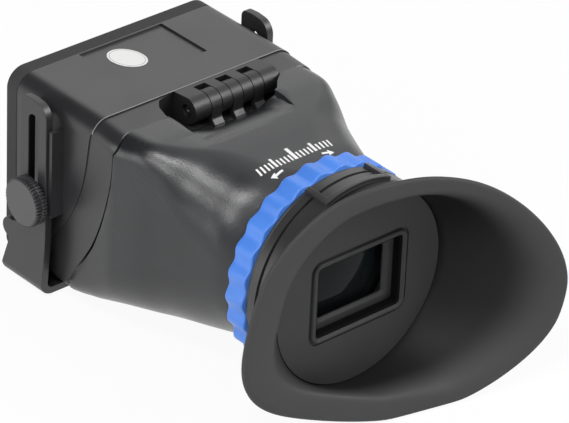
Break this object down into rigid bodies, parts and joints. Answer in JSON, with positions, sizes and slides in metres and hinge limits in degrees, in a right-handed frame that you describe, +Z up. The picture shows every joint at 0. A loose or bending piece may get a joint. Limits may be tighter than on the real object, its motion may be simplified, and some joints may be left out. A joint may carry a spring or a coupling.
{
  "type": "lcd viewfinder loupe",
  "caption": "Flip-up loupe for a camera screen: rubber-rimmed box, hinged funnel, scalloped focus ring, oval eyecup and a slotted U bracket with thumb screws.",
  "frame": {"origin": "centre of the bounding box on its lowest plane", "axes": "+Z up, +Y out of the rubber rim toward the camera screen, +X to the right as seen from the eyecup"},
  "size_m": [0.1166, 0.1544, 0.0859],
  "materials": {
    "housing": "fine grained satin",
    "funnel": "fine grained satin",
    "rubber": "matt",
    "gloss": "semi gloss",
    "inner": "flat black",
    "blue": "satin",
    "label": "satin",
    "steel": "brushed",
    "brass": "machined",
    "glass": "coated"
  },
  "bodies": {
    "box": {"screen_gasket": "rubber", "front_housing": "housing", "screen_mask": "inner", "label_blank": "label", "hinge_block": "housing", "hinge_pin": "steel", "block_screw_left": "steel", "block_screw_right": "steel", "magnet_left": "steel", "magnet_right": "steel", "insert_left": "brass", "insert_right": "brass", "washer_left": "steel", "washer_right": "steel"},
    "bracket": {"bracket": "gloss"},
    "thumb_left": {"knob_left": "gloss", "stud_left": "steel"},
    "thumb_right": {"knob_right": "gloss", "stud_right": "steel"},
    "funnel": {"funnel_shell": "funnel", "hinge_leaf": "gloss", "leaf_screw_left": "steel", "leaf_screw_right": "steel", "keeper_left": "steel", "keeper_right": "steel", "light_baffle": "inner", "guide_sleeve": "inner", "sleeve_clip": "steel"},
    "focus": {"focus_ring": "blue", "cam_ring": "inner"},
    "barrel": {"lens_barrel": "gloss", "field_lens": "glass", "eye_lens": "glass", "lens_spacer": "inner", "lens_retainer": "inner", "guide_pin_upper": "steel", "guide_pin_lower": "steel", "window_mask": "inner", "face_plate": "housing"},
    "cup": {"eyecup_collar": "gloss", "eyecup": "rubber"}
  },
  "joints": [
    {"name": "bracket_slide", "type": "slide", "parent": "box", "child": "bracket", "axis": [0, 0, 1], "range_m": [-0.028, 0]},
    {"name": "thumb_left_turn", "type": "hinge", "parent": "box", "child": "thumb_left", "pos_m": [-0.05577, 0.05608, 0.04232], "axis": [1, 0, 0], "continuous": true},
    {"name": "thumb_right_turn", "type": "hinge", "parent": "box", "child": "thumb_right", "pos_m": [0.04423, 0.05608, 0.04232], "axis": [1, 0, 0], "continuous": true},
    {"name": "funnel_flip", "type": "hinge", "parent": "box", "child": "funnel", "pos_m": [0.00363, 0.02718, 0.07442], "axis": [-1, 0, 0], "range_deg": [0, 80]},
    {"name": "focus_turn", "type": "hinge", "parent": "funnel", "child": "focus", "pos_m": [-0.00577, -0.02942, 0.04232], "axis": [0, -1, 0], "range_deg": [0, 120]},
    {"name": "barrel_slide", "type": "slide", "parent": "funnel", "child": "barrel", "axis": [0, -1, 0], "range_m": [0, 0.004]},
    {"name": "eyecup_turn", "type": "hinge", "parent": "barrel", "child": "cup", "pos_m": [-0.00577, -0.04192, 0.04232], "axis": [0, 1, 0], "continuous": true}
  ],
  "couplings": [
    {"joint": "barrel_slide", "follows": "focus_turn", "m_per_rad": 0.001909}
  ]
}
